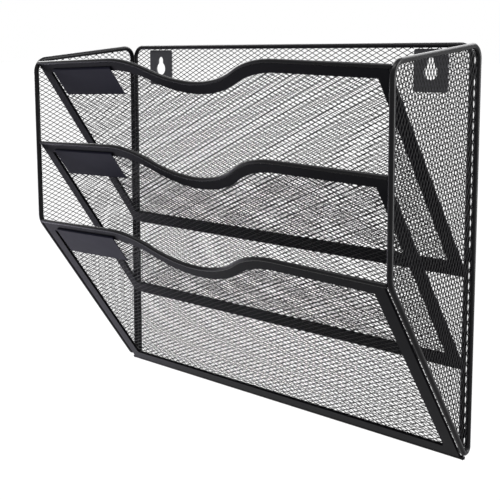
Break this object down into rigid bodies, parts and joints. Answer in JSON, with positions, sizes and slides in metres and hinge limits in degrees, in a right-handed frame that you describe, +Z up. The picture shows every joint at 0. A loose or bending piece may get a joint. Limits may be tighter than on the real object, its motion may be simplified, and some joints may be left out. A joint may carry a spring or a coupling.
{
  "type": "hanging file rack",
  "caption": "Wall-mounted rack of expanded-metal mesh with slanted pockets for files, wire rims, label holders and keyhole hanging plates.",
  "frame": {"origin": "the midpoint between the two screws that hold the rack, on the plane of the wall", "axes": "+X to the right along the wall, +Y into the wall, +Z up; the pockets open towards -Y and +Z"},
  "size_m": [0.334, 0.1058, 0.2793],
  "materials": {
    "wire_steel": "satin black powder coat on round steel wire",
    "border_steel": "satin black powder coat on folded sheet steel",
    "mesh_steel": "satin black powder coat on expanded steel",
    "plate_steel": "satin black powder coat on stamped sheet steel",
    "label_steel": "smooth satin black powder coat"
  },
  "bodies": {
    "root": {"back_frame": "wire_steel", "back_mesh": "mesh_steel", "keyhole_plate_left": "plate_steel", "keyhole_plate_right": "plate_steel", "side_frame_left": "wire_steel", "side_frame_right": "wire_steel", "side_mesh_left": "mesh_steel", "side_mesh_right": "mesh_steel", "front_border_1": "border_steel", "front_border_2": "border_steel", "front_border_3": "border_steel", "front_mesh_1": "mesh_steel", "front_mesh_2": "mesh_steel", "front_mesh_3": "mesh_steel", "front_top_wire_1": "wire_steel", "front_top_wire_2": "wire_steel", "front_top_wire_3": "wire_steel", "front_bottom_wire": "wire_steel", "label_holder_1": "label_steel", "label_holder_2": "label_steel", "label_holder_3": "label_steel"}
  },
  "joints": []
}
